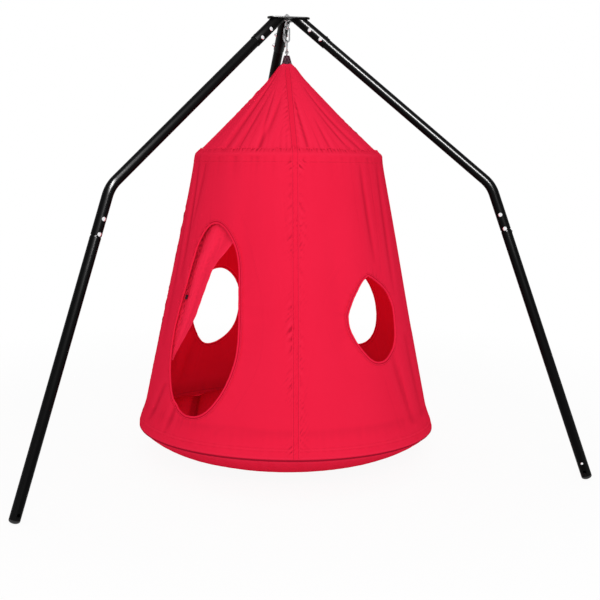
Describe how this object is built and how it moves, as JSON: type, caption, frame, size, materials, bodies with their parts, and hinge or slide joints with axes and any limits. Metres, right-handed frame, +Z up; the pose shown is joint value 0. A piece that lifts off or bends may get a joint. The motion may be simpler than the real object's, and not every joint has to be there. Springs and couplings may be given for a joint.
{
  "type": "hanging tent",
  "caption": "Round hanging play tent of red cloth with a door, windows and an inflated floor, hung by a ring and quick link from a bent-tube tripod stand.",
  "frame": {"origin": "the bottom centre of the bounding box, on the ground between the three feet", "axes": "+Z up; one leg stands towards +Y and two towards -Y, one to each side of X = 0; the tent hangs on a vertical axis at Y = -0.293 m"},
  "size_m": [2.0688, 1.7968, 1.7061],
  "materials": {
    "black_powder_coat": "glossy black powder coat on bent steel tube",
    "black_plastic": "satin moulded black plastic",
    "zinc_plate": "bright zinc plate",
    "red_cloth": "closely woven bright red nylon cloth with a soft sheen",
    "red_tape": "folded red cloth tape with lines of stitching",
    "dark_webbing": "woven dark maroon-black webbing, box stitched",
    "cushion_skin": "red cloth-faced inflatable skin",
    "hoop_plastic": "pale satin plastic tube",
    "valve_plastic": "pale moulded plastic"
  },
  "bodies": {
    "stand": {"hub_bracket": "black_powder_coat", "eye_bolt": "zinc_plate", "eye_washer": "zinc_plate", "eye_nut": "zinc_plate", "upper_leg_right": "black_powder_coat", "lower_leg_right": "black_powder_coat", "foot_plug_right": "black_plastic", "foot_rivet_right": "zinc_plate", "hub_bolt_right_1": "zinc_plate", "hub_bolt_right_2": "zinc_plate", "joint_bolt_right_1": "zinc_plate", "joint_bolt_right_2": "zinc_plate", "upper_leg_left": "black_powder_coat", "lower_leg_left": "black_powder_coat", "foot_plug_left": "black_plastic", "foot_rivet_left": "zinc_plate", "hub_bolt_left_1": "zinc_plate", "hub_bolt_left_2": "zinc_plate", "joint_bolt_left_1": "zinc_plate", "joint_bolt_left_2": "zinc_plate", "upper_leg_rear": "black_powder_coat", "lower_leg_rear": "black_powder_coat", "foot_plug_rear": "black_plastic", "foot_rivet_rear": "zinc_plate", "hub_bolt_rear_1": "zinc_plate", "hub_bolt_rear_2": "zinc_plate", "joint_bolt_rear_1": "zinc_plate", "joint_bolt_rear_2": "zinc_plate"},
    "quick_link": {"quick_link": "zinc_plate"},
    "link_sleeve": {"quick_link_sleeve": "zinc_plate"},
    "ring": {"steel_ring": "zinc_plate"},
    "tent": {"webbing_loop": "dark_webbing", "crown_collar": "dark_webbing", "roof_gore_front_left": "red_cloth", "roof_gore_front_right": "red_cloth", "roof_gore_rear_right": "red_cloth", "roof_gore_rear_left": "red_cloth", "wall_panel_door": "red_cloth", "wall_panel_window_right": "red_cloth", "wall_panel_window_rear_right": "red_cloth", "wall_panel_window_rear_left": "red_cloth", "hem_door": "red_tape", "hem_window_right": "red_tape", "hem_window_rear_right": "red_tape", "hem_window_rear_left": "red_tape", "top_hoop": "hoop_plastic", "base_hoop": "hoop_plastic", "floor_cloth": "red_cloth", "base_binding": "red_tape", "floor_cushion": "cushion_skin", "air_valve": "valve_plastic", "seam_tape_front": "red_tape", "seam_tape_right": "red_tape", "seam_tape_back": "red_tape", "seam_tape_left": "red_tape"},
    "door_flap": {"door_flap": "red_cloth", "flap_toggle": "dark_webbing"}
  },
  "joints": [
    {"name": "link_turn", "type": "hinge", "parent": "stand", "child": "quick_link", "pos_m": [0, -0.29295, 1.659], "axis": [0, 0, 1], "range_deg": [-10, 50]},
    {"name": "link_sleeve_slide", "type": "slide", "parent": "quick_link", "child": "link_sleeve", "axis": [0, 0, 1], "range_m": [0, 0.009]},
    {"name": "ring_swing", "type": "hinge", "parent": "quick_link", "child": "ring", "pos_m": [0, -0.29295, 1.603], "axis": [0.9863, -0.165, 0], "range_deg": [-10, 10]},
    {"name": "tent_swing", "type": "hinge", "parent": "ring", "child": "tent", "pos_m": [0, -0.29295, 1.5655], "axis": [0.165, 0.9863, 0], "range_deg": [-10, 10]},
    {"name": "flap_swing", "type": "hinge", "parent": "tent", "child": "door_flap", "pos_m": [-0.42725, -0.44006, 0.7025], "axis": [0.1938, 0.0667, 0.9788], "range_deg": [0, 60]}
  ]
}
